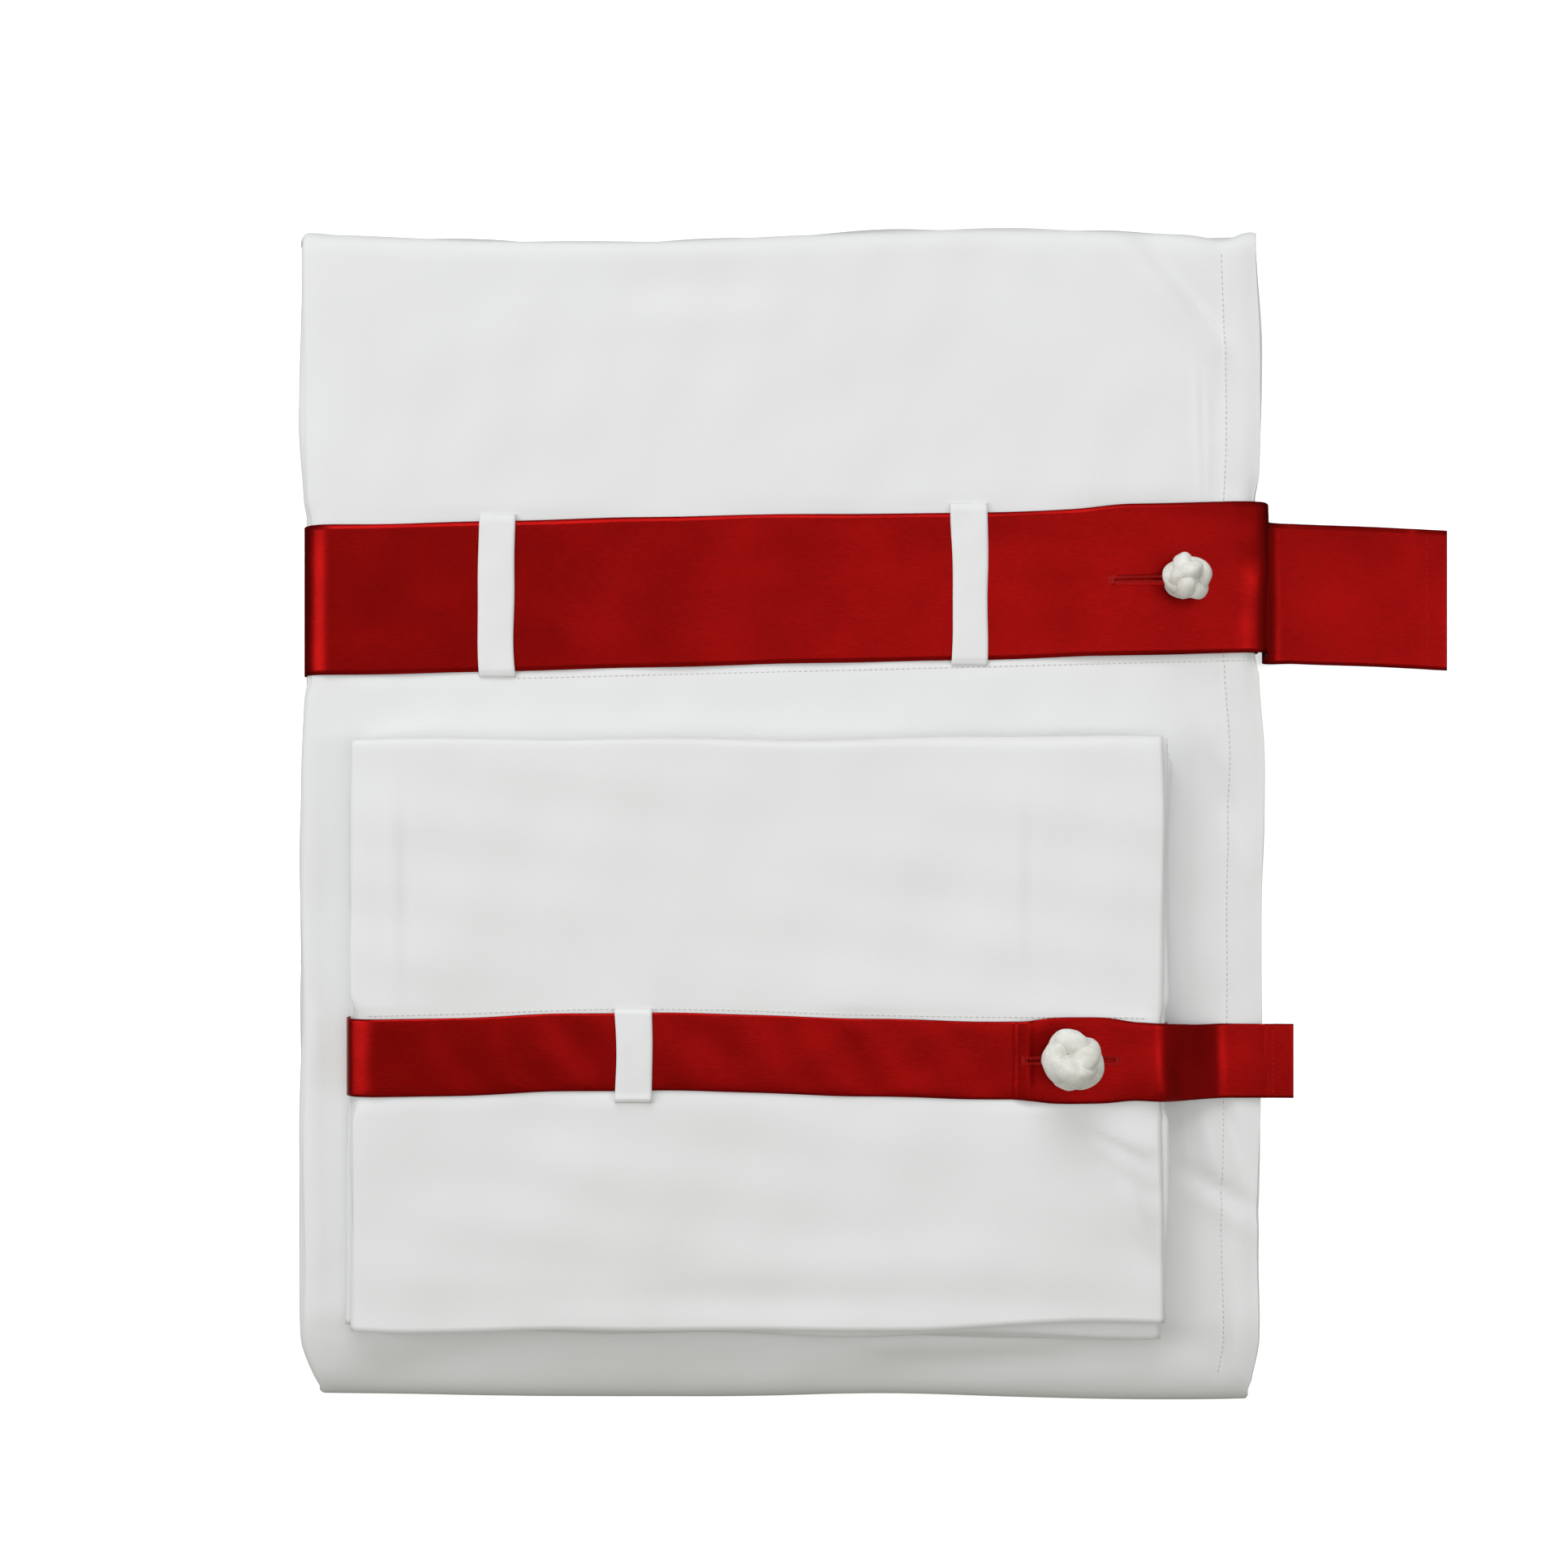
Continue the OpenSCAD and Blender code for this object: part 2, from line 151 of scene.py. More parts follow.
PUFF_BAND = 0.03  # how far in from a packet's sides its top swells
PRESSED = 0.0003  # how far the top stands up under what lies on it


def cover_relief(x, y):
    """How far the cover's top stands over or under its flat height."""
    rise = 0.0006 * ripple(x, y, 3, 0.12) + 0.0003 * ripple(x, y, 8, 0.045)
    rise = rise + creases(x, y, COVER_CREASES)
    pressed = np.maximum(under_sash(x, y), under_cases(x, y))
    puff = 0.0012 * (1 - smooth((np.abs(x) - half_w + PUFF_BAND) / PUFF_BAND))
    return (rise + puff) * (1 - pressed) + PRESSED * pressed


def hem_pucker(x, y):
    """The small gathers that the opening's stitches draw in the hem."""
    seam = half_w - HEM_WIDTH
    near = np.exp(-(((x - seam) / 0.007) ** 2))
    raised = 0.0004 * smooth((x - seam) / 0.0016)
    return near * 0.00022 * ripple(x * 0.3, y, 17, 0.011) + raised


def round_corners(x, z, half_x, half_z, radius, share):
    """Draws the square corners of a packet's X-Z section in to a radius, all plies together,
    by a share from 0 to 1. The packet's middle is at 0, 0."""
    out = np.abs(x) - (half_x - radius)
    up = np.abs(z) - (half_z - radius)
    corner = (out > 0) & (up > 0)
    pull = np.where(corner, np.maximum(out, up) / np.maximum(np.hypot(out, up), 1e-9), 1)
    pull = 1 + (pull - 1) * share
    x = np.where(corner, np.sign(x) * (half_x - radius + out * pull), x)
    z = np.where(corner, np.sign(z) * (half_z - radius + up * pull), z)
    return x, z


def settle_cover(points):
    """Bends the neatly folded cover the way it really lies: its outline wanders, the sash
    draws its corners in, its top puffs and creases, and it sinks to a roll along the bottom.
    Every ply goes with the rest."""
    x, y, z = points.T.copy()
    cinch = under_sash(x, y, 0.012)
    half_h = cover_h / 2
    x, z = round_corners(x, z - half_h, half_w, half_h, COVER_CORNER, 0.35 + 0.6 * cinch)
    z = z + half_h
    level = z / cover_h
    each_ply = 30 * z
    x = x - 0.0005 * cinch * np.sign(x) * smooth((np.abs(x) - 0.2) / 0.04)
    # the sides, away from the sash
    right, left = smooth((x - 0.1) / 0.14), smooth((-x - 0.1) / 0.14)
    free = 1 - under_sash(x, y, 0.055)
    bulge = 0.0026 * np.exp(-(((y - 0.02) / 0.09) ** 2))
    bulge = bulge + 0.0012 * smooth((y - 0.10) / 0.06) - 0.0030 * smooth((y - 0.225) / 0.06)
    x = x + right * free * (bulge + 0.0008 * ripple(y, each_ply, 21, 0.12))
    x = x + left * free * (0.0008 * ripple(y, each_ply, 22, 0.14) - 0.0020)
    # the far and near edges
    top, foot = smooth((y - 0.18) / 0.1), smooth((-y - 0.18) / 0.1)
    wave = 0.0005 + 0.0030 * np.sin(math.tau * x / 0.42)
    y = y + top * (wave + 0.0008 * ripple(x, each_ply, 23, 0.1))
    y = y + foot * 0.0012 * ripple(x, level * 0.03, 24, 0.16)
    hem_end = 0.0028 * smooth((x - 0.222) / 0.014)
    y = y + top * (hem_end - 0.0016 * np.exp(-(((x - 0.218) / 0.01) ** 2)))
    stretch = 0.0084 + 0.0016 * smooth((x - 0.02) / 0.1)
    y = y + 0.0035 * smooth((y - 0.1) / 0.19) - stretch * smooth((-y - 0.1) / 0.19)
    # the near corners, the top, and the roll along the near edge
    corner_in = np.where(x > 0, 0.016, 0.030) * smooth((np.abs(x) - 0.1) / 0.14)
    x = x * (1 - corner_in * smooth((-y - 0.262) / 0.032))
    relief = cover_relief(x, y) + hem_pucker(x, y)
    z = z * (1 + relief * np.clip(level, 0, 1) ** 1.5 / cover_h)
    roll = 0.34 + 0.05 * ripple(x, 0, 25, 0.16)
    z = z * (1 - roll * smooth((-y - 0.244) / 0.060))
    return np.stack([x, y, z], axis=1)


def walk(at, heading, *steps):
    """Points along a line in a plane, and their right-hand normals. A step is (length, degrees
    turned to the left, parts); a straight step turns by 0."""
    place, angle = np.array(at, float), math.radians(heading)
    points, angles = [place], [angle]
    for length, turned, parts in steps:
        bend = math.radians(turned) / parts
        chord = length / parts
        if turned:
            chord *= math.sin(bend / 2) / (bend / 2)
        for _ in range(parts):
            middle = angle + bend / 2
            place = place + chord * np.array([math.cos(middle), math.sin(middle)])
            angle += bend
            points.append(place)
            angles.append(angle)
    angles = np.array(angles)
    return np.array(points), np.stack([np.sin(angles), -np.cos(angles)], axis=1)


def arc(radius, degrees, parts):
    """A step for walk that turns round a radius, to the left if degrees is positive."""
    return (radius * math.radians(abs(degrees)), degrees, parts)


def finish_mesh(name, bm):
    """Makes a bmesh into a smooth-faced object of that name, which sits at the origin."""
    mesh = bpy.data.meshes.new(name)
    bm.to_mesh(mesh)
    bm.free()
    piece = bpy.data.objects.new(name, mesh)
    bpy.context.scene.collection.objects.link(piece)
    mesh.polygons.foreach_set("use_smooth", [True] * len(mesh.polygons))
    return piece


def sheet_mesh(name, columns, rows, place, hole=None, weld=False, core=None):
    """A grid of columns by rows, each corner moved to place(column numbers, row numbers). A
    hole is its first and last column and row. Weld closes seams where corners meet, and a core
    is a ball put in the middle: its centre and radius."""
    bm = bmesh.new()
    bmesh.ops.create_grid(bm, x_segments=columns - 1, y_segments=rows - 1, size=0.5)
    co = np.array([v.co for v in bm.verts])
    column = np.rint((co[:, 0] + 0.5) * (columns - 1)).astype(int)
    row = np.rint((co[:, 1] + 0.5) * (rows - 1)).astype(int)
    if hole:
        inside = (column >= hole[0]) & (column <= hole[1]) & (row >= hole[2]) & (row <= hole[3])
        cut = [face for face in bm.faces if all(inside[v.index] for v in face.verts)]
    for vert, point in zip(bm.verts, place(column, row)):
        vert.co = point
    if hole:
        bmesh.ops.delete(bm, geom=cut, context="FACES")
    if weld:
        bmesh.ops.remove_doubles(bm, verts=bm.verts, dist=1e-6)
        bmesh.ops.recalc_face_normals(bm, faces=bm.faces)
    if core:
        bmesh.ops.create_icosphere(bm, subdivisions=3, radius=core[1],
                                   matrix=Matrix.Translation(core[0]))
    return finish_mesh(name, bm)


def thicken(piece, thickness):
    solid = piece.modifiers.new("thickness", "SOLIDIFY")
    solid.thickness = thickness
    solid.offset = 0
    return piece


def folded_in_four(span, pitch, offset, parts, hem=0.0):
    """One ply of a strip folded in half twice: its line in the plane, from the outer leaf's
    free end on the right, round the outer fold on the left, back, and round the inner fold.
    Offset is how far the ply lies outside its leaf's middle, parts is how finely each of the
    four leaves is divided, and a hem is turned in at both free ends."""
    side = math.copysign(1, offset)
    turn_in = [arc(HEM_DEPTH / 2, 180 * side, 4)]
    under = [(hem - HEM_DEPTH / 2, 0, 4)]
    edge = 2 * hem
    outer = span - 2 * pitch - (HEM_DEPTH / 2 if hem else 0)
    inner = span - 3 * pitch
    start = (span / 2 - hem, 1.5 * pitch + offset - (side * HEM_DEPTH if hem else 0))
    steps = under + turn_in + [(edge, 0, 24)] if hem else []
    steps += [(outer - edge, 0, parts[0]), arc(1.5 * pitch + offset, 180, 10)]
    steps += [(inner, 0, parts[1]), arc(0.5 * pitch + offset, 180, 6)]
    steps += [(inner, 0, parts[2]), arc(0.5 * pitch - offset, -180, 6)]
    steps += [(outer, 0, parts[3])]
    if hem:
        steps += turn_in + under
    return walk(start, 0 if hem else 180, *steps)


COVER_LEAF = cover_h / 4
COVER_PLY = COVER_LEAF / 4
PANEL_OFFSET = COVER_PLY / 4


def cover_panel(name, offset):
    """One panel of the cover, folded in four across, and that stack folded in four along."""
    across, _ = folded_in_four(2 * half_w, COVER_PLY, offset, (96, 12, 12, 12), HEM_WIDTH)
    along, along_n = folded_in_four(2 * half_l, COVER_LEAF, 0, (14, 116, 14, 14))

    def place(column, row):
        x, out = across[column].T
        y = along[row, 0] + out * along_n[row, 0]
        z = cover_h / 2 - along[row, 1] - out * along_n[row, 1]
        return settle_cover(np.stack([x, y, z], axis=1))

    panel = thicken(sheet_mesh(name, len(across), len(along), place), CLOTH)
    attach(panel, "large_packet")
    return panel


class Field:
    """A number or colour that varies over a surface. Arithmetic on it adds Math nodes."""

    def __init__(self, shop, socket):
        self.shop, self.socket = shop, socket

    def math(self, operation, *others):
        return self.shop.add("ShaderNodeMath", {"operation": operation}, {
            i: value for i, value in enumerate((self, *others))})

    def __add__(self, other):
        return self.math("ADD", other)

    def __sub__(self, other):
        return self.math("SUBTRACT", other)

    def __rsub__(self, other):
        return (self * -1) + other

    def __mul__(self, other):
        return self.math("MULTIPLY", other)

    __radd__, __rmul__ = __add__, __mul__


class Finish:
    """A material's node tree, with one call for any node."""

    def __init__(self, name, **uniform):
        self.material = bpy.data.materials.new(name)
        self.material.use_nodes = True
        self.tree = self.material.node_tree
        self.shader = self.tree.nodes["Principled BSDF"]
        for socket, value in uniform.items():
            self.shader.inputs[socket.replace("_", " ")].default_value = value

    def add(self, kind, settings, inputs, output=0):
        """Adds a node: its settings first, then the values or links of its sockets."""
        node = self.tree.nodes.new(kind)
        for name, value in settings.items():
            if name == "stops":
                for stop, (at, colour) in zip(self.stops(node, len(value)), value):
                    stop.position, stop.color = at, (*colour, 1)
            else:
                setattr(node, name, value)
        for name, value in inputs.items():
            self.feed(node.inputs[name], value)
        return Field(self, node.outputs[output])

    def stops(self, node, count):
        """A ramp's stops, as many as are wanted."""
        ramp = node.color_ramp.elements
        while len(ramp) < count:
            ramp.new(1)
        return ramp

    def feed(self, socket, value):
        """Links a field to a socket, or sets the socket to a value."""
        if isinstance(value, Field):
            self.tree.links.new(value.socket, socket)
        else:
            socket.default_value = value

    def place(self, scale=(1, 1, 1)):
        """Object coordinates, stretched."""
        where = self.add("ShaderNodeTexCoord", {}, {}, "Object")
        return self.add("ShaderNodeMapping", {}, {"Vector": where, "Scale": scale})

    def noise(self, where, scale, detail=3.0, roughness=0.5):
        return self.add("ShaderNodeTexNoise", {}, {
            "Vector": where, "Scale": scale, "Detail": detail, "Roughness": roughness})

    def bump(self, height, depth, strength=1.0):
        return self.add("ShaderNodeBump", {}, {
            "Height": height, "Distance": depth, "Strength": strength})

    def finish(self, **fields):
        """Feeds the shader's own sockets, and gives the material."""
        for socket, value in fields.items():
            self.feed(self.shader.inputs[socket.replace("_", " ")], value)
        return self.material


def coat(piece, material):
    """Gives a piece its one material."""
    piece.data.materials.clear()
    piece.data.materials.append(material)
    return piece


THREADS = 2600  # the weave's threads to the metre, as a noise scale
SLUBS = 120


def percale(name, light, shade):
    """Plain-woven cotton: fine threads both ways, slubs, and a faint mottle."""
    cloth = Finish(name, Roughness=0.82, Sheen_Weight=0.12, Sheen_Roughness=0.5,
                   Specular_IOR_Level=0.25)
    slub_x = cloth.noise(cloth.place((SLUBS, THREADS, THREADS)), 1.0, 2.0)
    slub_y = cloth.noise(cloth.place((THREADS, SLUBS, SLUBS)), 1.0, 2.0)
    mottle = cloth.noise(cloth.place(), 9.0, 4.0, 0.6)
    grain = (slub_x + slub_y) * 0.5
    tone = mottle * 0.7 + grain * 0.3
    colour = cloth.add("ShaderNodeValToRGB", {"stops": [(0.3, shade), (0.7, light)]}, {"Fac": tone})
    return cloth.finish(Base_Color=colour, Normal=cloth.bump(grain, 0.00012, 0.6))


COTTON_LIGHT, COTTON_SHADE = (0.83, 0.84, 0.845), (0.80, 0.81, 0.805)
cover_cotton = percale("cover_percale", COTTON_LIGHT, COTTON_SHADE)

cover_face = coat(cover_panel("cover_face", PANEL_OFFSET), cover_cotton)
cover_back = coat(cover_panel("cover_back", -PANEL_OFFSET), cover_cotton)
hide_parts("large_cover_face", "large_opening_hem")
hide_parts("large_cover_back")


# ---- Lines of stitches on the cover ----------------------------------------------------
# White cotton thread, lockstitched 2.7 mm to the stitch: one line holds the opening's hem,
# and one runs just under the wide sash, where the loops are caught in.

STITCH_PITCH = 0.0027
STITCH_LENGTH = 0.0017
THREAD = 0.00050


def thread_finish(name, light, dark):
    """Twisted sewing thread."""
    yarn = Finish(name, Roughness=0.6, Specular_IOR_Level=0.15)
    twist = yarn.noise(yarn.place((900, 900, 900)), 1.0, 2.0)
    colour = yarn.add("ShaderNodeValToRGB", {"stops": [(0.3, dark), (0.7, light)]}, {"Fac": twist})
    return yarn.finish(Base_Color=colour, Normal=yarn.bump(twist, 0.00015))


# painted shade: this white thread is coloured greyer than the percale so that its stitch lines read
# darker, as their shade does
white_thread = thread_finish("white_thread", (0.72, 0.72, 0.68), (0.52, 0.52, 0.48))


def stitches(line, pitch, length):
    """The two ends of each stitch along a line of points."""
    at = np.concatenate([[0], np.cumsum(np.linalg.norm(np.diff(line, axis=0), axis=1))])
    for number in range(max(1, int(at[-1] / pitch))):
        ends = [(number + 0.5) * pitch + side * length / 2 for side in (-1, 1)]
        yield [Vector([np.interp(end, at, line[:, k]) for k in range(3)]) for end in ends]


def seam(name, pairs, body, slot, thread, replaces, width=THREAD):
    """Stitches between pairs of points, each a short thread laid on the cloth."""
    bm = bmesh.new()
    for low, high in pairs:
        turn = (high - low).to_track_quat("X", "Z").to_matrix().to_4x4()
        size = Matrix.Diagonal(((high - low).length / width, 1, 0.8, 1))
        place = Matrix.Translation((low + high) / 2) @ turn @ size
        bmesh.ops.create_icosphere(bm, subdivisions=2, radius=width / 2, matrix=place)
    piece = coat(finish_mesh(name, bm), thread)
    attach(piece, body)
    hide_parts(*replaces)
    return piece


def on_cover(x, y, lift=0.0):
    """Points on the settled cover's top face, lifted a little off it."""
    x, y = np.broadcast_arrays(np.asarray(x, float), np.asarray(y, float))
    top = cover_h / 2 + 1.5 * COVER_LEAF + 1.5 * COVER_PLY + PANEL_OFFSET
    settled = settle_cover(np.stack([x, y, np.full_like(x, top)], axis=1))
    settled[:, 2] += CLOTH / 2 + lift
    return settled


hem_box, face_seam_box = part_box("large_hem_seam"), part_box("large_face_seam")
hem_y = np.linspace(hem_box[0].y, hem_box[1].y, 240)
hem_seam_x = (hem_box[0].x + hem_box[1].x) / 2
hem_line = on_cover(hem_seam_x, hem_y, THREAD * 0.3)
seam("hem_stitches", stitches(hem_line, STITCH_PITCH, STITCH_LENGTH), "large_packet",
     "white_thread", white_thread, ["large_hem_seam"])
face_x = np.linspace(face_seam_box[0].x, half_w - 0.001, 200)
face_drop = sash_line(face_seam_box[0].x) - face_seam_box[0].y - THREAD
face_line = on_cover(face_x, sash_line(face_x) - face_drop, THREAD * 0.2)
seam("face_stitches", stitches(face_line, STITCH_PITCH, STITCH_LENGTH), "large_packet",
     "white_thread", white_thread, ["large_face_seam"])


# ---- The wide sash ---------------------------------------------------------------------
# A red satin ribbon 75 mm wide. It goes under the cover and round it, back over its own first
# end, and is buttoned there through a worked slit; its hemmed end falls to the table.

SATIN = 0.00035
SLIT_WIDTH = 0.0013
wide_tail_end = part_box("wide_tail_hem")[1].x
wide_button = (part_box("large_button_shank")[0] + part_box("large_button_shank")[1]) / 2
wide_slit_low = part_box("wide_buttonhole_binding")[0]


def satin_finish(name, base, ribs):
    """Satin: red floats that shine across their length, over fine cross ribs."""
    satin = Finish(name, Roughness=0.38, Metallic=0.8, Specular_IOR_Level=0.05)
    rib = satin.noise(satin.place(ribs), 1.0, 2.0)
    cloud = satin.noise(satin.place(), 30.0, 3.0)
    tone = rib * 0.6 + cloud * 0.4
    dark = tuple(part * 0.75 for part in base)
    bright = tuple(part * 1.2 for part in base)
    colour = satin.add("ShaderNodeValToRGB", {"stops": [(0.3, dark), (0.7, bright)]}, {"Fac": tone})
    return satin.finish(Base_Color=colour, Normal=satin.bump(rib, 0.00012, 0.5))


red_satin = satin_finish("red_satin", (0.30, 0.0040, 0.0035), (300, 2600, 300))


def rise(height, length, parts=5):
    """Two steps for walk: a soft step up by height, then level again."""
    turned = 2 * math.atan2(height, length)
    radius = length / (2 * math.sin(abs(turned)))
    degrees = math.degrees(turned)
    return [arc(radius, degrees, parts), arc(radius, -degrees, parts)]


def straight(length, cell=0.003):
    """A straight step for walk, in cells of about that length."""
    return (length, 0, max(1, round(length / cell)))


def ribbon(name, path, half_width, place, slit, material):
    """A ribbon along path. Its rows lie closer than half_width to its middle, and place gives
    the points for (columns, distances from the middle); slit is the buttonhole's columns."""
    side = np.linspace(SLIT_WIDTH / 2, half_width, 14)
    across = np.concatenate([-side[::-1], side])
    hole = (*slit, 13, 14)
    piece = sheet_mesh(name, len(path), len(across), lambda c, r: place(c, across[r]), hole)
    coat(thicken(piece, SATIN), material)
    return piece


def dimple(x, w, button_x, size=0.007):
    """1 under a button's middle, dying away round it."""
    return np.exp(-(((x - button_x) / size) ** 2) - (w / size) ** 2)


def buttonhole_spread(x, w, button_x):
    """How far the slit's edges part round the button's shank."""
    near = np.exp(-(((x - button_x) / 0.004) ** 2) - np.abs(w) / 0.005)
    return np.sign(w) * 0.0020 * near


wide_front = on_cover([0.0], sash_line(0.0))[0, 2] + SATIN
WIDE_FOOT = 0.00021  # the height of the sash's middle where it passes under the cover
WIDE_BEND = 0.0125
WIDE_LEFT_BEND = 0.0170
WIDE_OVER = 0.0017  # how far the lap stands over the sash's first end
LAP_RISE, LAP_PAST = 0.038, 0.006  # the lap's slope over that end, and how far it runs past it
SLIT_PAST = 0.0025  # how far the slit runs past the button's middle
# a tail's end: a step up over its hem, a flat part, and the turn, which reaches a little past it
HEM_STEP, HEM_SLOPE, HEM_FLAT, HEM_TURN, HEM_PAST = 0.0007, 0.008, 0.014, 0.00035, 0.0005
wide_left, wide_right, wide_outer = -half_w - 0.0012, half_w + 0.0004, half_w + 0.0058
wide_start = wide_slit_low.x - 0.008
wide_over_z = wide_front + WIDE_OVER
sweep = 0.015  # the bend where the tail meets the table
tail_z = 0.0004
tail_hem = 0.009
tail_veer = 0.0405  # how far it runs to -Y for its length
tail_askew = 0.0041  # how far the tail lies to -Y of the lap
wide_steps = [
    straight(wide_right - WIDE_BEND - wide_start),
    arc(WIDE_BEND, -90, 10),
    straight(wide_front - WIDE_FOOT - 2 * WIDE_BEND),
    arc(WIDE_BEND, -90, 8),
    straight(wide_right - wide_left - 2 * WIDE_BEND, 0.006),
    arc(WIDE_BEND, -90, 8),
    straight(wide_front - WIDE_FOOT - WIDE_BEND - WIDE_LEFT_BEND),
    arc(WIDE_LEFT_BEND, -90, 14),
    straight(wide_start + LAP_PAST - LAP_RISE - wide_left - WIDE_LEFT_BEND),
    *rise(WIDE_OVER, LAP_RISE, 8),
]
wide_lap_start = sum(step[2] for step in wide_steps[:9])
to_slit = wide_slit_low.x - (wide_start + LAP_PAST)
slit_run = wide_button.x + SLIT_PAST - wide_slit_low.x
wide_steps += [straight(to_slit), straight(slit_run, 0.0015)]
wide_slit = (sum(step[2] for step in wide_steps[:-1]), sum(step[2] for step in wide_steps))


def soft_edge(first, first_turn, then):
    """Two steps for walk over a packet's edge, gently first and then tightly, and how far
    along and down they lead."""
    turned = math.radians(first_turn)
    along = first * math.sin(turned) + then * (1 - math.sin(turned))
    down = first * (1 - math.cos(turned)) + then * math.cos(turned)
    return [arc(first, -first_turn, 8), arc(then, first_turn - 90, 10)], along, down


over_edge, edge_along, edge_down = soft_edge(0.040, 20, 0.013)
wide_steps += [
    straight(wide_outer - edge_along - wide_button.x - SLIT_PAST),
    *over_edge,
    straight(wide_over_z - edge_down - sweep - tail_z),
    arc(sweep, 90, 12),
    straight(wide_tail_end - HEM_PAST - HEM_SLOPE - HEM_FLAT - wide_outer - sweep),
    *rise(HEM_STEP, HEM_SLOPE),
    straight(HEM_FLAT, 0.002),
    arc(HEM_TURN, -180, 4),
    straight(tail_hem),
]
wide_path, wide_inward = walk((wide_start, wide_front), 0, *wide_steps)


def wide_place(column, w):
    """Where the wide sash lies."""
    x, z = wide_path[column].T
    inward_x, inward_z = wide_inward[column].T
    lap = column >= wide_lap_start
    front = smooth((z - 0.65 * cover_h) / (0.3 * cover_h))
    out = smooth((x - wide_outer) / 0.02)
    middle = sash_line(np.minimum(x, wide_outer)) - tail_veer * np.maximum(x - wide_outer, 0)
    spread = buttonhole_spread(x, w, wide_button.x) * lap * front
    edge = np.abs(w) / (SASH_WIDTH / 2)
    waves = 0.0008 + 0.0005 * ripple(x, w, 41, 0.08) + 0.0002 * ripple(x, w, 42, 0.03)
    waves += 0.0006 * crease(x, w, (0.040, -0.036), (0.072, -0.016), 0.004)
    swell = front * (0.0002 + waves * (1 - 0.4 * edge**8))
    swell = swell + 0.0004 * dimple(x, w, wide_button.x) * front * ~lap
    swell = swell + out * 0.0006 * (1 + ripple(x, w, 43, 0.09)) * (1 - smooth((x - 0.315) / 0.02))
    # on the right the far edge is drawn in, and the lap's is less so and covers it
    doubled = smooth((x - 0.145) / 0.03) * lap * smooth(z / cover_h - 0.1) * (w > 0)
    drawn_in = smooth((x + 0.05) / 0.15) * (w > 0)
    wider = 1 - 0.035 * out + 0.05 * doubled - 0.04 * drawn_in * (1 - out)
    y = middle + w * wider + spread + 0.0004 * ripple(x, 0, 44, 0.09)
    y = y - tail_askew * lap * smooth((wide_over_z - 0.004 - z) / 0.026)
    return np.stack([x - inward_x * swell, y, z - inward_z * swell], axis=1)


wide_sash = ribbon("wide_sash", wide_path, SASH_WIDTH / 2, wide_place, wide_slit, red_satin)
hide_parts("wide_band", "wide_band_tail", "wide_tail_hem")
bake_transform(wide_sash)

red_thread = thread_finish("red_thread", (0.46, 0.008, 0.007), (0.28, 0.005, 0.004))


def buttonhole(edge_at, length, ends):
    """Worked edges of a slit: close stitches over each side, and a bar across each end."""
    for side in (-1, 1):
        for at in np.linspace(0, length, int(length / 0.0006)):
            yield Vector(edge_at(at, side * SLIT_WIDTH * 0.35)), Vector(edge_at(at, side * 0.0021))
    for end in ends:
        for step in range(5):
            at = end + 0.0005 * step
            yield Vector(edge_at(at, -0.0026)), Vector(edge_at(at, 0.0026))


def on_wide(at, w):
    """A point on the lap of the wide sash, at a distance along its slit."""
    x = wide_slit_low.x + at
    column = np.argmin(np.abs(wide_path[wide_lap_start:wide_slit[1] + 1, 0] - x)) + wide_lap_start
    point = wide_place(np.array([column]), np.array([w]))[0]
    return x, point[1], point[2] + SATIN / 2


seam("wide_buttonhole", buttonhole(on_wide, slit_run, [-0.0026]), "large_packet", "red_thread",
     red_thread, ["wide_buttonhole_binding"], 0.0005)

tail_seam_low, tail_seam_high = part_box("wide_tail_hem_seam")
tail_seam_x = (tail_seam_low.x + tail_seam_high.x) / 2
tail_w = np.linspace(-SASH_WIDTH / 2 + 0.002, SASH_WIDTH / 2 - 0.002, 60)
tail_column = wide_slit[1] + np.argmin(np.abs(wide_path[wide_slit[1]:-12, 0] - tail_seam_x))
tail_line = wide_place(np.full(60, tail_column), tail_w) + [0, 0, SATIN / 2]
seam("wide_tail_stitches", stitches(tail_line, STITCH_PITCH, STITCH_LENGTH), "wide_tail",
     "red_thread", red_thread, ["wide_tail_hem_seam"])


# ---- The loops on the cover ------------------------------------------------------------
# Two strips of the cover's own cotton, folded double to 18 mm wide, over the sash. Each is
# sewn down with a bar of close stitches at both ends.

LOOP_CLOTH = 0.0009


def loop_strip(name, low, high, surface, over, bow, replaces, body, seed):
    """A strap from low.y to high.y over a sash. Surface gives the points of the piece it is
    sewn to, over how high it stands in its middle, and bow how far it leans to +X."""
    middle, half = (low.x + high.x) / 2, (high.x - low.x) / 2
    columns, rows = 13, 55

    def place(column, row):
        t = row / (rows - 1)
        w = (column / (columns - 1) * 2 - 1) * half
        y = low.y + t * (high.y - low.y)
        up = smooth((t - 0.006) / 0.032) * smooth((0.994 - t) / 0.032)
        ease = np.sin(math.pi * t)
        x = middle + w * (1 - 0.035 * ease) + bow * ease**1.3 + 0.0005 * ripple(y, w, seed, 0.05)
        points = surface(x, y, LOOP_CLOTH / 2)
        crown = 1 - (w / half) ** 4
        points[:, 2] += up * (over + 0.0004 * crown * ease) + 0.00015 * ripple(x, y, seed + 1, 0.02)
        points[:, 0] = x
        points[:, 1] = y + 0.0002 * ripple(w, y, seed + 2, 0.03)
        return points

    strip = coat(thicken(sheet_mesh(name, columns, rows, place), LOOP_CLOTH), cover_cotton)
    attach(strip, body)
    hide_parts(*replaces)
    return strip


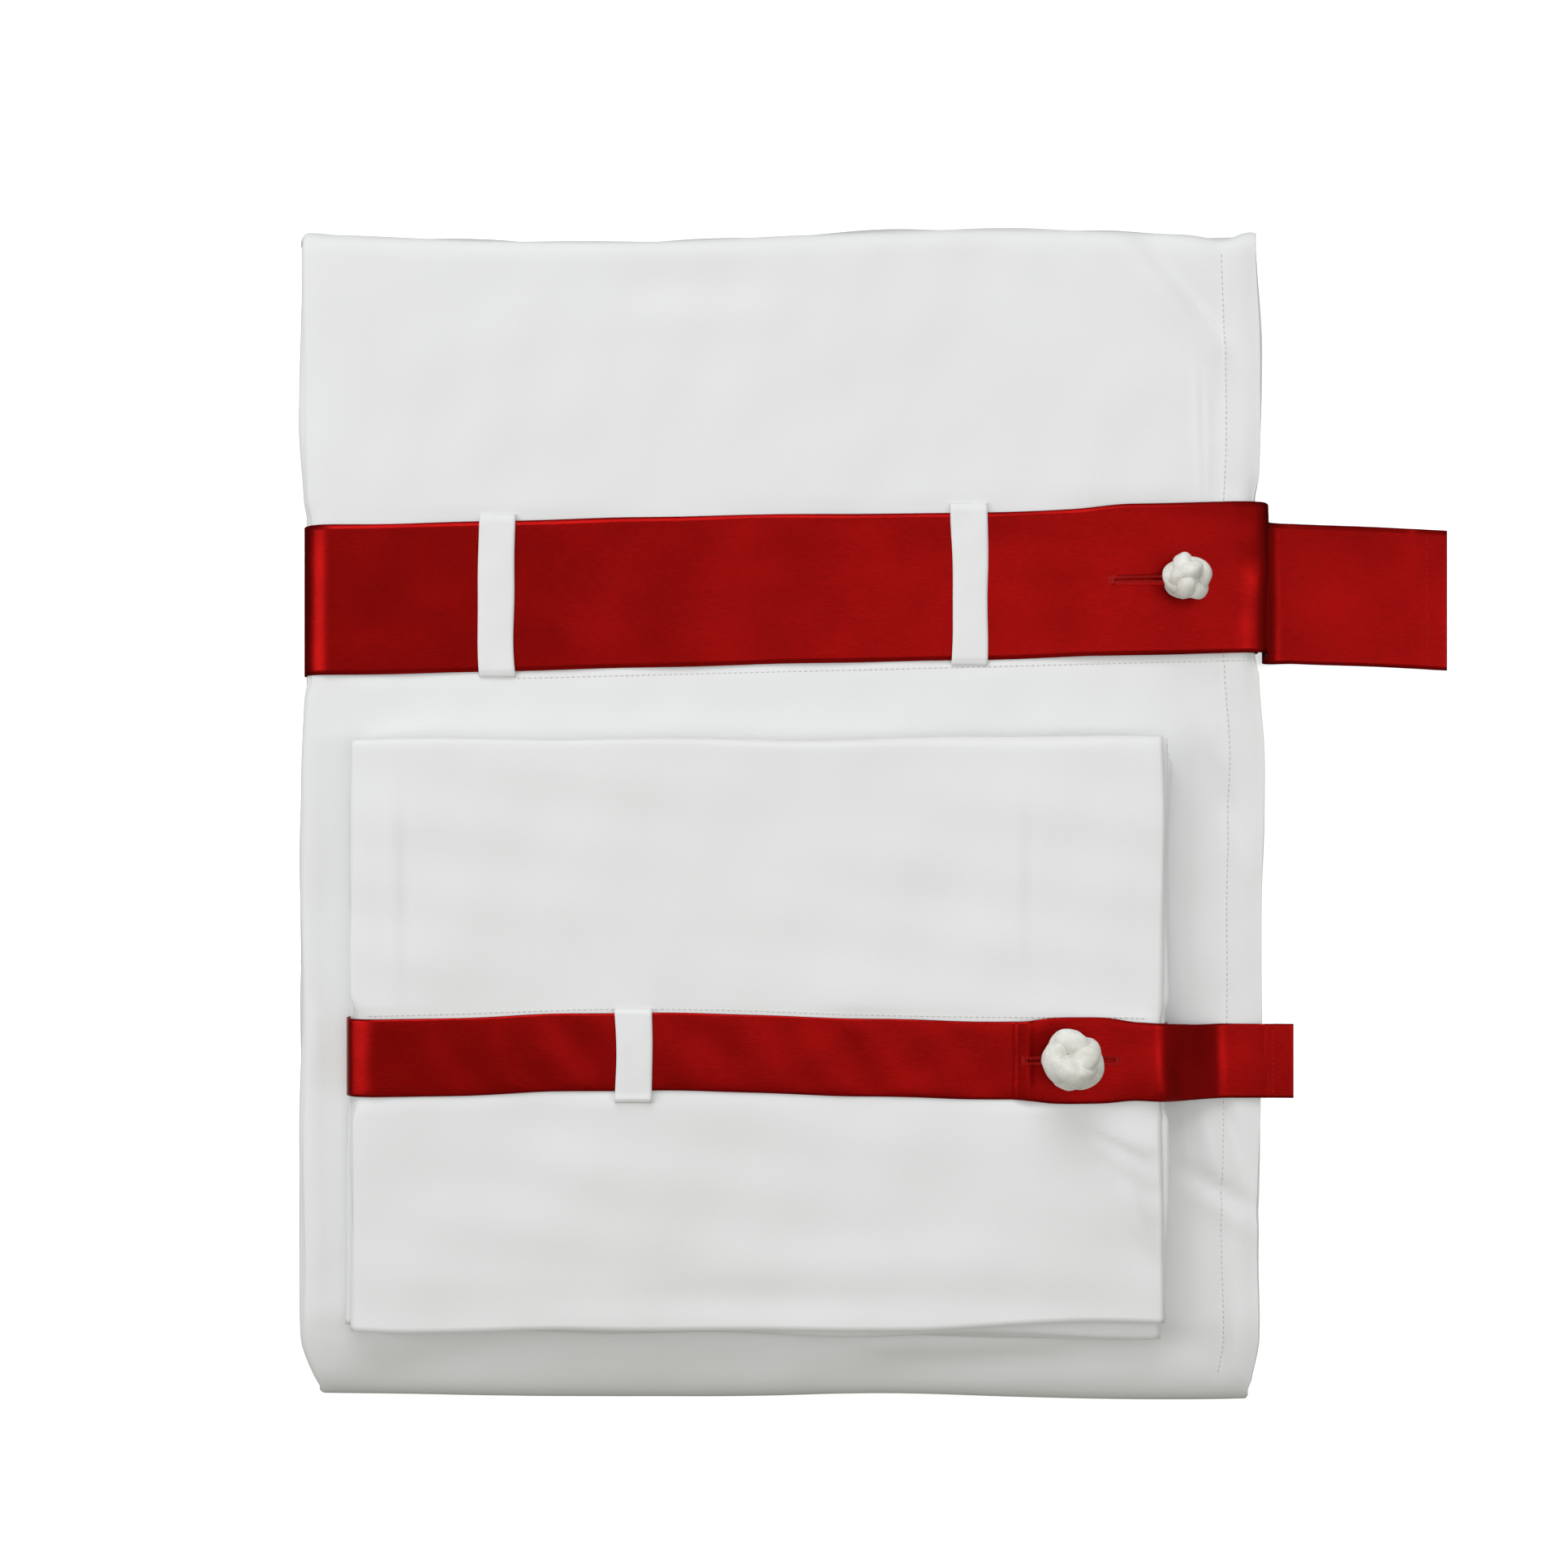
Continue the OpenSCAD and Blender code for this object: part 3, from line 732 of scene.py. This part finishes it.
def bar_tacks(low, high, surface, lift):
    """Close zigzag stitches across both ends of a loop."""
    for end, way in ((low.y + 0.0012, 1), (high.y - 0.0012, -1)):
        xs = np.linspace(low.x + 0.0015, high.x - 0.0015, 22)
        for number, x in enumerate(xs):
            y = end + way * 0.0003
            points = surface([x, x + 0.0004], [y - 0.0009, y + 0.0009], lift)
            yield Vector(points[0]), Vector(points[1])


loop_pairs = []
for name, node, bow, seed in (("left_loop", "large_loop_left", -0.0012, 51),
                              ("right_loop", "large_loop_right", 0.0004, 56)):
    loop_low, loop_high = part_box(node)
    loop_strip(name, loop_low, loop_high, on_cover, 0.0016, bow, [node], "large_packet",
               seed)
    loop_pairs += bar_tacks(loop_low, loop_high, on_cover, LOOP_CLOTH)
seam("loop_bar_tacks", loop_pairs, "large_packet", "white_thread", white_thread,
     ["large_loop_bartacks"])


# ---- The pillowcases -------------------------------------------------------------------
# Two cases of the same percale lie on the cover, one on the other. Each has two panels of
# 0.8 x 0.6 m, sewn on three sides, and is folded in half both ways with its ends to the right.

CASE_CORNER = 0.0095
CASE_SLIP = 0.0038  # how far the free ends have slipped to the right
NARROW_WIDTH = 0.038
upper_low, upper_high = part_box("upper_case_face")
lower_low, lower_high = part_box("lower_case_face")
narrow_low, narrow_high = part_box("narrow_band")
narrow_y = (narrow_low.y + narrow_high.y) / 2
stack_x, stack_z = (upper_low.x + upper_high.x) / 2, (lower_low.z + upper_high.z) / 2
stack_w, stack_h = (upper_high.x - upper_low.x) / 2, (upper_high.z - lower_low.z) / 2
case_leaf = (upper_high.z - upper_low.z) / 2
case_ply = case_leaf / 2
case_offset = case_ply / 4


def narrow_line(x):
    """The middle of the narrow sash: it bows up left of the middle and droops to the right."""
    bow = 0.0042 * np.exp(-(((x + 0.065) / 0.1) ** 2)) - 0.0008
    return narrow_y + bow - 0.0032 * smooth((x - 0.15) / 0.09)


def under_narrow(x, y, edge=0.006):
    """1 where the narrow sash presses on the cases, 0 away from it."""
    return 1 - smooth((np.abs(y - narrow_line(x)) - NARROW_WIDTH / 2) / edge)


CASE_CREASES = [
    # beside the fold on the left
    (0.0008, 0.0035, (-0.1905, 0.034), (-0.1880, -0.110)),
    (-0.0006, 0.0025, (-0.1835, 0.030), (-0.1820, -0.100)),
    # over the seam allowance on the right
    (0.0005, 0.0030, (0.1150, 0.032), (0.1175, -0.090)),
    (-0.0005, 0.0025, (0.1215, 0.020), (0.1225, -0.085)),
    # along the bottom fold
    (-0.0010, 0.008, (-0.190, -0.236), (0.170, -0.238)),
    (0.0007, 0.010, (-0.060, -0.222), (0.120, -0.216)),
    (0.0006, 0.012, (-0.150, -0.150), (-0.040, -0.200)),
]
for pucker in range(4):  # drawn out from under the button
    from_button = (0.146 + 0.006 * pucker, -0.146 - 0.011 * pucker)
    to_edge = (0.184, -0.166 - 0.017 * pucker)
    CASE_CREASES.append((0.0034 - 0.0004 * pucker, 0.0036, from_button, to_edge))


def case_relief(x, y):
    """How far the top of the cases stands over its flat height."""
    rise = 0.0008 * ripple(x, y, 61, 0.12) + 0.0004 * ripple(x, y, 62, 0.045)
    rise = rise + creases(x, y, CASE_CREASES)
    puff = 0.0009 * (1 - smooth((np.abs(x - stack_x) - stack_w + PUFF_BAND) / PUFF_BAND))
    pressed = under_narrow(x, y)
    left_end = smooth((stack_x - x - stack_w + 0.024) / 0.022)
    return (rise + puff) * (1 - pressed) + (0.0004 - 0.0014 * left_end) * pressed


def settle_cases(points):
    """Bends the neatly folded cases the way they lie, both together."""
    x, y, z = points.T.copy()
    cinch = under_narrow(x, y, 0.012)
    share = 0.25 + 0.65 * cinch
    x, z = round_corners(x - stack_x, z - stack_z, stack_w, stack_h, CASE_CORNER, share)
    x, z = x + stack_x, z + stack_z
    level = np.clip((z - stack_z) / (2 * stack_h) + 0.5, 0, 1)
    each_ply = 40 * z
    right, left = smooth((x - 0.1) / 0.08), smooth((-x - 0.13) / 0.08)
    x = x + right * (CASE_SLIP + (1 - cinch) * 0.0010 * ripple(y, each_ply, 63, 0.12))
    x = x + left * (1 - cinch) * 0.0010 * ripple(y, each_ply, 64, 0.14)
    top, foot = smooth((y + 0.05) / 0.08), smooth((-y - 0.17) / 0.07)
    y = y + top * 0.0013 * ripple(x, each_ply * 0.3, 65, 0.16)
    y = y + foot * 0.0014 * ripple(x, each_ply * 0.3, 66, 0.15)
    # the upper case alone is drawn up at its lower right
    upper_only = smooth((level - 0.4) / 0.2)
    drawn_up = 0.0055 * smooth((x - 0.02) / 0.17) - 0.0010 * smooth((x + 0.05) / 0.08)
    y = y + foot * upper_only * drawn_up
    z = z + case_relief(x, y) * level**1.5
    return np.stack([x, y, z], axis=1)


def folded_in_two(span, pitch, offset, parts):
    """One ply of a strip folded in half, from a free end on the right round to the other."""
    return walk((span / 2, 0.5 * pitch + offset), 180, (span - pitch, 0, parts[0]),
                arc(0.5 * pitch + offset, 180, 8), (span - pitch, 0, parts[1]))


def case_panel(name, node, low, high, offset, short, turned):
    """One panel of a pillowcase, folded in half across, and that stack in half along. Short is
    how far its free ends stop short, and turned how many degrees it lies askew."""
    askew = math.radians(turned)
    width, length = high.x - low.x, high.y - low.y
    across, _ = folded_in_two(width, case_ply, offset, (132, 16))
    along, along_n = folded_in_two(length, case_leaf, 0, (16, 100))
    shift = Vector(((low.x + high.x) / 2, (low.y + high.y) / 2, (low.z + high.z) / 2))

    def place(column, row):
        x, out = across[column].T
        x = x - short * smooth((x - width / 2 + 0.03) / 0.03)
        y = -(along[row, 0] + out * along_n[row, 0])
        z = -along[row, 1] - out * along_n[row, 1]
        x, y = x - y * askew, y + x * askew
        return settle_cases(np.stack([x, y, z], axis=1) + shift)

    panel = coat(thicken(sheet_mesh(name, len(across), len(along), place), CLOTH), cover_cotton)
    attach(panel, "small_packet")
    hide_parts(node)


for name, low, high, short, turned in (("upper", upper_low, upper_high, 0.0018, 0),
                                       ("lower", lower_low, lower_high, -0.003, -1)):
    case_panel(f"{name}_pillowcase_face", f"{name}_case_face", low, high, case_offset, short, turned)
    case_panel(f"{name}_pillowcase_back", f"{name}_case_back", low, high, -case_offset, 0.0, turned)


def on_cases(x, y, lift=0.0):
    """Points on the settled top of the upper pillowcase, lifted a little off it."""
    x, y = np.broadcast_arrays(np.asarray(x, float), np.asarray(y, float))
    top = (upper_low.z + upper_high.z) / 2 + case_leaf / 2 + case_ply / 2 + case_offset
    settled = settle_cases(np.stack([x, y, np.full_like(x, top)], axis=1))
    settled[:, 2] += CLOTH / 2 + lift
    return settled


small_seam_low, small_seam_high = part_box("small_face_seam")
small_seam_x = np.linspace(small_seam_low.x, small_seam_high.x, 200)
small_seam_rise = NARROW_WIDTH / 2 + 0.0018
small_line = on_cases(small_seam_x, narrow_line(small_seam_x) + small_seam_rise, THREAD * 0.3)
seam("small_stitches", stitches(small_line, STITCH_PITCH, STITCH_LENGTH), "small_packet",
     "white_thread", white_thread, ["small_face_seam"])


# ---- The narrow sash -------------------------------------------------------------------
# The same satin, 38 mm wide, round the pillowcases. Its hemmed end slopes down off them and
# lies on the cover.

narrow_tail_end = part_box("narrow_tail_hem")[1].x
small_button = (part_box("small_button_shank")[0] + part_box("small_button_shank")[1]) / 2
narrow_slit_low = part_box("narrow_buttonhole_binding")[0]
narrow_front = on_cases([0.0], narrow_line(0.0))[0, 2] + SATIN
narrow_foot = lower_low.z + 0.0001
narrow_bend = 0.0085
narrow_rise = 0.006
narrow_hem_slope, narrow_hem_flat = 0.006, 0.012
left_edge, left_along, left_down = soft_edge(0.030, 25, 0.009)
narrow_over = 0.0015  # how far the lap stands over the sash's first end
narrow_left = lower_low.x - 0.0004
narrow_right = upper_high.x + CASE_SLIP + 0.0006
narrow_start = narrow_slit_low.x - 0.001
cover_rest = on_cover(np.linspace(0.212, 0.238, 15), narrow_line(0.225))[:, 2].max() + 0.0004
slope = 31.0  # degrees down from the cases to the cover
narrow_steps = [
    straight(narrow_right - narrow_bend - narrow_start),
    arc(narrow_bend, -90, 8),
    straight(narrow_front - narrow_foot - 2 * narrow_bend),
    arc(narrow_bend, -90, 8),
    straight(narrow_right - narrow_left - 2 * narrow_bend, 0.006),
    arc(narrow_bend, -90, 8),
    straight(narrow_front - narrow_foot - narrow_bend - left_down),
    *reversed(left_edge),
    straight(narrow_start - 0.001 - narrow_rise - narrow_left - left_along),
    *rise(narrow_over, narrow_rise, 4),
]
narrow_lap_start = sum(step[2] for step in narrow_steps[:10])
small_slit_run = 2 * (small_button.x - narrow_slit_low.x) - 0.001
narrow_steps += [straight(narrow_slit_low.x - narrow_start + 0.001),
                 straight(small_slit_run, 0.0013)]
narrow_slit = (sum(step[2] for step in narrow_steps[:-1]), sum(step[2] for step in narrow_steps))
over_bend, foot_bend = 0.016, 0.020
turned = math.radians(slope)
fall = narrow_front + narrow_over - cover_rest
sloped = (fall - (over_bend + foot_bend) * (1 - math.cos(turned))) / math.sin(turned)
lap_end = narrow_right - 0.002 - over_bend * math.sin(turned)
tail_from = lap_end + (over_bend + foot_bend) * math.sin(turned) + sloped * math.cos(turned)
narrow_steps += [
    straight(lap_end - narrow_slit_low.x - small_slit_run),
    arc(over_bend, -slope, 8),
    straight(sloped),
    arc(foot_bend, slope, 8),
    straight(narrow_tail_end - HEM_PAST - narrow_hem_slope - narrow_hem_flat - tail_from),
    *rise(HEM_STEP, narrow_hem_slope),
    straight(narrow_hem_flat, 0.002),
    arc(HEM_TURN, -180, 4),
    straight(tail_hem),
]
narrow_path, narrow_inward = walk((narrow_start, narrow_front), 0, *narrow_steps)


def narrow_place(column, w):
    """Where the narrow sash lies."""
    x, z = narrow_path[column].T
    inward_x, inward_z = narrow_inward[column].T
    lap = column >= narrow_lap_start
    front = smooth((z - narrow_front + 0.007) / 0.006)
    out = smooth((x - narrow_right) / 0.02)
    edge = np.abs(w) / (NARROW_WIDTH / 2)
    wider = 1 + 0.11 * lap * np.exp(-(((x - small_button.x - 0.003) / 0.022) ** 4))
    spread = buttonhole_spread(x, w, small_button.x) * lap * front
    waves = 0.0006 + 0.0003 * ripple(x, w, 71, 0.05) + 0.0002 * ripple(x, w, 72, 0.025)
    # the lap shows the first end's edge as a ridge
    ridge = 0.0007 * np.exp(-(((x - narrow_start - 0.0015) / 0.0016) ** 2)) * lap
    waves = waves * (1 - 0.6 * np.exp(-(((x - small_button.x) / 0.02) ** 2)) * lap)
    swell = front * (0.0002 + waves * (1 - 0.7 * edge**8) + ridge)
    swell = swell + 0.0003 * dimple(x, w, small_button.x) * front * ~lap
    swell = swell + out * 0.0005 * (1 + ripple(x, w, 73, 0.05)) * (x < narrow_tail_end - 0.014)
    y = narrow_line(x) + w * wider * (1 - 0.03 * out) + spread + 0.0003 * ripple(x, 0, 74, 0.05)
    return np.stack([x - inward_x * swell, y, z - inward_z * swell], axis=1)


narrow_sash = ribbon("narrow_sash", narrow_path, NARROW_WIDTH / 2, narrow_place, narrow_slit,
                     red_satin)
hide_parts("narrow_band", "narrow_band_tail", "narrow_tail_hem")
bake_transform(narrow_sash)


def on_narrow(at, w):
    """A point on the lap of the narrow sash, at a distance along its slit."""
    x = narrow_slit_low.x + at
    lap = narrow_path[narrow_lap_start:narrow_slit[1] + 6, 0]
    column = np.argmin(np.abs(lap - x)) + narrow_lap_start
    point = narrow_place(np.array([column]), np.array([w]))[0]
    return x, point[1], point[2] + SATIN / 2


seam("narrow_buttonhole", buttonhole(on_narrow, small_slit_run, [-0.0026, small_slit_run]),
     "small_packet", "red_thread", red_thread, ["narrow_buttonhole_binding"], 0.0005)

small_tail_seam = (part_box("narrow_tail_hem_seam")[0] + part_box("narrow_tail_hem_seam")[1]) / 2
small_tail_w = np.linspace(-NARROW_WIDTH / 2 + 0.002, NARROW_WIDTH / 2 - 0.002, 40)
small_tail_column = narrow_slit[1] + np.argmin(
    np.abs(narrow_path[narrow_slit[1]:-12, 0] - small_tail_seam.x))
small_tail_line = narrow_place(np.full(40, small_tail_column), small_tail_w) + [0, 0, SATIN / 2]
seam("narrow_tail_stitches", stitches(small_tail_line, STITCH_PITCH, STITCH_LENGTH),
     "narrow_tail", "red_thread", red_thread, ["narrow_tail_hem_seam"])


# ---- The loop on the pillowcases -------------------------------------------------------
# One loop like the cover's, shorter, sewn to the upper case over the narrow sash.

small_loop_low, small_loop_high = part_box("small_loop")
# it sits a little further to +Y than its CAD part, and is longer
small_loop_low.y += 0.0008
small_loop_high.y += 0.0023
loop_strip("small_case_loop", small_loop_low, small_loop_high, on_cases, 0.0019, 0.0003,
           ["small_loop"], "small_packet", 81)
seam("small_loop_bar_tacks", bar_tacks(small_loop_low, small_loop_high, on_cases, LOOP_CLOTH),
     "small_packet", "white_thread", white_thread, ["small_loop_bartacks"])


# ---- The knot buttons ------------------------------------------------------------------
# Balls knotted from a fat cord of rolled white cotton, one on each sash. Each sits on a thread
# shank through the slit, sewn to the sash's first end.


def knot_finish():
    """Rolled cotton cord: creased along its length, with painted shade in its folds, darker and warmer
    there.
    """
    cloth = Finish("knot_cotton", Roughness=0.8, Sheen_Weight=0.15, Specular_IOR_Level=0.25)
    weave = cloth.noise(cloth.place((2200, 2200, 2200)), 1.0, 2.0)
    crumple_and_fold_shade = cloth.noise(cloth.place(), 160.0, 4.0, 0.6)
    tone = weave * 0.3 + crumple_and_fold_shade * 0.7
    # painted shade: the ramp's dark stop falls where the crumple's bump is low, in the cord's folds
    colour = cloth.add("ShaderNodeValToRGB", {
        "stops": [(0.3, (0.60, 0.59, 0.52)), (0.62, (0.84, 0.84, 0.80))]}, {"Fac": tone})
    height = weave * 0.15 + crumple_and_fold_shade
    return cloth.finish(Base_Color=colour, Normal=cloth.bump(height, 0.0006, 0.5))


knot_cotton = knot_finish()


def knot(name, node, cord, tilt, lean, seed):
    """A ball woven from one cord that runs three times round it, over and under itself. Lean
    is how far it sits off its shank."""
    low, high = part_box(node)
    middle, radius = (low + high) / 2 + Vector(lean), (high.x - low.x) / 2
    columns, rows = 241, 21
    t = np.linspace(0, math.tau, columns)
    draw = np.random.default_rng(seed)
    turned = Matrix.Identity(3)
    for degrees, axis in zip(tilt, "XYZ"):
        turned = turned @ Matrix.Rotation(math.radians(degrees), 3, axis)
    turned = np.array(turned)
    lift = radius * (1 - cord) * (1 + 0.16 * np.sin(8 * t + 0.6))
    latitude = 0.80 * np.cos(4 * t + 0.2 * np.sin(t))
    around = 3 * t
    centre = np.stack([lift * np.cos(latitude) * np.cos(around),
                       lift * np.cos(latitude) * np.sin(around), lift * np.sin(latitude)], axis=1)
    along = np.gradient(np.vstack([centre[-3:-1], centre, centre[1:3]]), axis=0)[2:-2]
    along /= np.linalg.norm(along, axis=1)[:, None]
    outward = centre - (centre * along).sum(axis=1)[:, None] * along
    outward /= np.linalg.norm(outward, axis=1)[:, None]
    sideways = np.cross(along, outward)
    phases = draw.uniform(0, math.tau, 3)

    def place(column, row):
        turn = math.tau * row / (rows - 1)
        at = t[column]
        folds = 0.05 * np.sin(3 * turn + 2 * at + phases[0])
        folds = folds + 0.03 * np.sin(5 * turn - 3 * at + phases[1])
        thick = radius * cord * (1 + folds + 0.10 * np.sin(2 * at + phases[2]))
        ring = 0.92 * outward[column] * np.cos(turn)[:, None]
        ring = ring + 0.94 * sideways[column] * np.sin(turn)[:, None]
        return (centre[column] + ring * thick[:, None]) @ turned.T + np.array(middle)

    ball = sheet_mesh(name, columns, rows, place, weld=True, core=(middle, radius * 0.55))
    coat(ball, knot_cotton)
    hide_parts(node)
    return ball


large_knot = knot("large_cord_knot", "large_knot_button", 0.40, (20, 30, 10),
                  (-0.0026, -0.0008, 0.0004), 5)
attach(large_knot, "large_button")
small_knot = knot("small_cord_knot", "small_knot_button", 0.42, (-25, -15, 70),
                  (-0.0028, 0.0018, 0.0006), 6)
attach(small_knot, "small_button")

for part in ("large_button_anchor", "large_button_shank", "small_button_anchor", "small_button_shank"):
    coat(bpy.data.objects[part], white_thread)


# ---- The room --------------------------------------------------------------------------
# A white table top, soft light from the window side beyond the set, and a camera overhead.

floor_bm = bmesh.new()
bmesh.ops.create_grid(floor_bm, x_segments=1, y_segments=1, size=12.0)
floor = finish_mesh("table_top", floor_bm)
table = Finish("white_table", Roughness=0.9, Base_Color=(0.92, 0.92, 0.92, 1))
coat(floor, table.finish(Emission_Color=(1, 1, 1, 1), Emission_Strength=0.6))
floor.data.transform(Matrix.Translation((0, 0, -0.0004)))
floor.visible_diffuse = False  # it throws no light back up at the linen
floor.visible_glossy = False  # and doesn't show in the satin

DAYLIGHT = (0.93, 0.945, 1.0)


def lamp(name, place, size, watts):
    """A soft square lamp that is aimed at the set."""
    data = bpy.data.lights.new(name, "AREA")
    data.shape, data.size, data.energy, data.color = "SQUARE", size, watts, DAYLIGHT
    light = bpy.data.objects.new(name, data)
    light.location = place
    light.rotation_euler = (-Vector(place)).to_track_quat("-Z", "Y").to_euler()
    bpy.context.scene.collection.objects.link(light)


lamp("window", (-0.4, 2.4, 1.6), 1.8, 41.0)
lamp("left", (-1.90, 0.10, 1.40), 1.4, 19.5)
lamp("right", (1.00, -0.02, 1.00), 0.28, 2.6)
lamp("overhead", (0.30, 0.05, 1.6), 1.1, 5.0)

# The room's own light is warm from above and nearly dark from below the table's edge.
world = bpy.data.worlds.new("room")
world.use_nodes = True
room = world.node_tree
background = room.nodes["Background"]
background.inputs["Strength"].default_value = 0.27
way = room.nodes.new("ShaderNodeTexCoord")
axes = room.nodes.new("ShaderNodeSeparateXYZ")
height = room.nodes.new("ShaderNodeMath")
height.operation = "MULTIPLY_ADD"
height.inputs[1].default_value = 0.5
height.inputs[2].default_value = 0.5
ramp = room.nodes.new("ShaderNodeValToRGB")
for stop, at, colour in zip(ramp.color_ramp.elements, (0.40, 0.60),
                            ((0.02, 0.02, 0.015, 1), (1.0, 0.96, 0.78, 1))):
    stop.position, stop.color = at, colour
room.links.new(way.outputs["Generated"], axes.inputs[0])
room.links.new(axes.outputs["Z"], height.inputs[0])
room.links.new(height.outputs[0], ramp.inputs["Fac"])
room.links.new(ramp.outputs["Color"], background.inputs["Color"])
bpy.context.scene.world = world
bpy.context.scene.view_settings.view_transform = "Standard"

CAMERA_HEIGHT = 1.0
camera = bpy.data.objects.new("camera", bpy.data.cameras.new("camera"))
camera.data.sensor_width, camera.data.lens = 36, 44.35
camera.location = (0.0016, 0.0158, CAMERA_HEIGHT)
bpy.context.scene.collection.objects.link(camera)
bpy.context.scene.camera = camera
